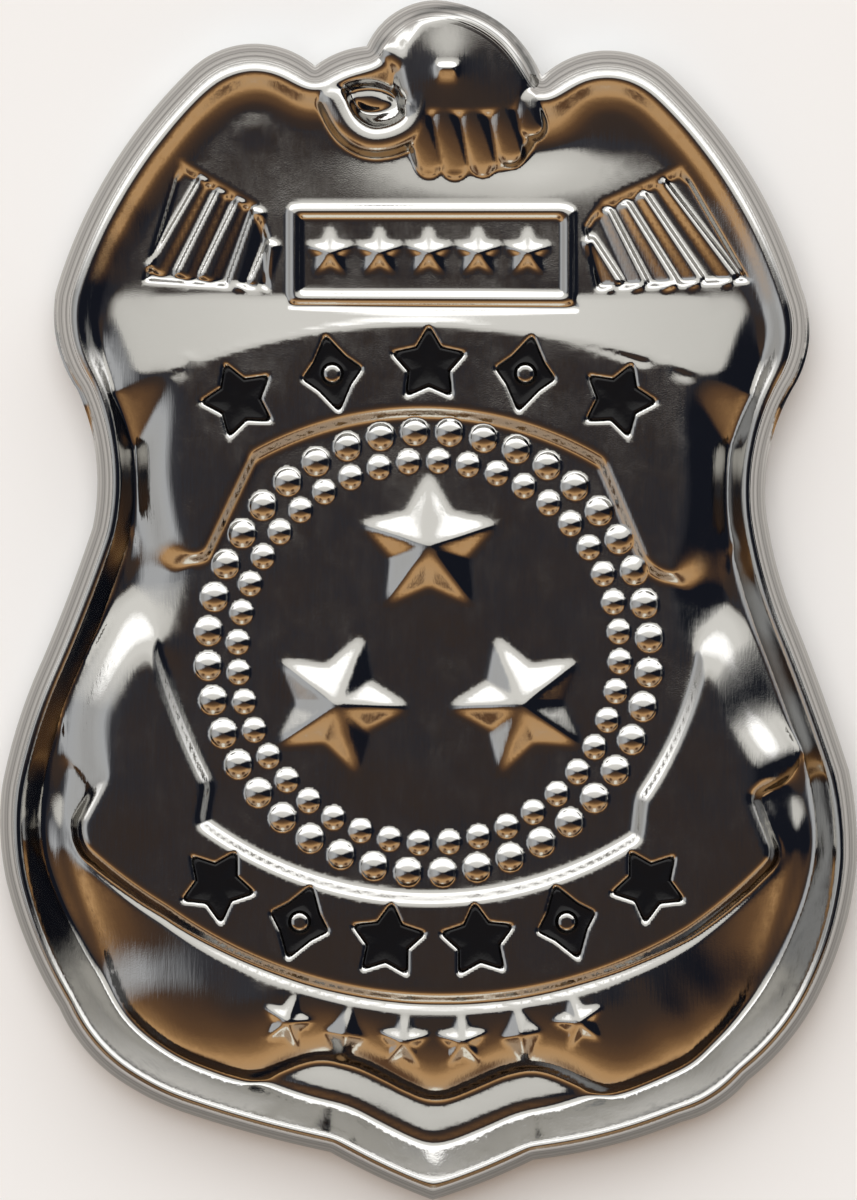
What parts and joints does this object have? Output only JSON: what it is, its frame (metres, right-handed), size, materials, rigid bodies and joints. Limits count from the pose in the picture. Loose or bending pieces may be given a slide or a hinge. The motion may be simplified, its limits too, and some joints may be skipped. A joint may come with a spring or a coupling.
{
  "type": "police shield badge",
  "caption": "Pressed sheet-metal shield badge with an eagle, ribbons, beads and stars in relief, black enamel figures and a plain pin bar behind.",
  "frame": {"origin": "middle of the badge's box, on the plane that its back edge rests on", "axes": "+X to the right of one who looks at the face, +Y from the tip towards the eagle's head, +Z out of the face"},
  "size_m": [0.0543, 0.076, 0.005],
  "materials": {
    "plated_steel": "bright nickel plate over pressed steel, faintly brushed and rubbed",
    "pin_steel": "plain bright plate",
    "black_enamel": "glossy soft enamel, slightly sunk"
  },
  "bodies": {
    "root": {"pressed_shell": "plated_steel", "pin_back": "pin_steel", "upper_fill_1": "black_enamel", "upper_fill_2": "black_enamel", "upper_fill_3": "black_enamel", "upper_fill_4": "black_enamel", "upper_fill_5": "black_enamel", "lower_fill_1": "black_enamel", "lower_fill_2": "black_enamel", "lower_fill_3": "black_enamel", "lower_fill_4": "black_enamel", "lower_fill_5": "black_enamel", "lower_fill_6": "black_enamel"}
  },
  "joints": []
}
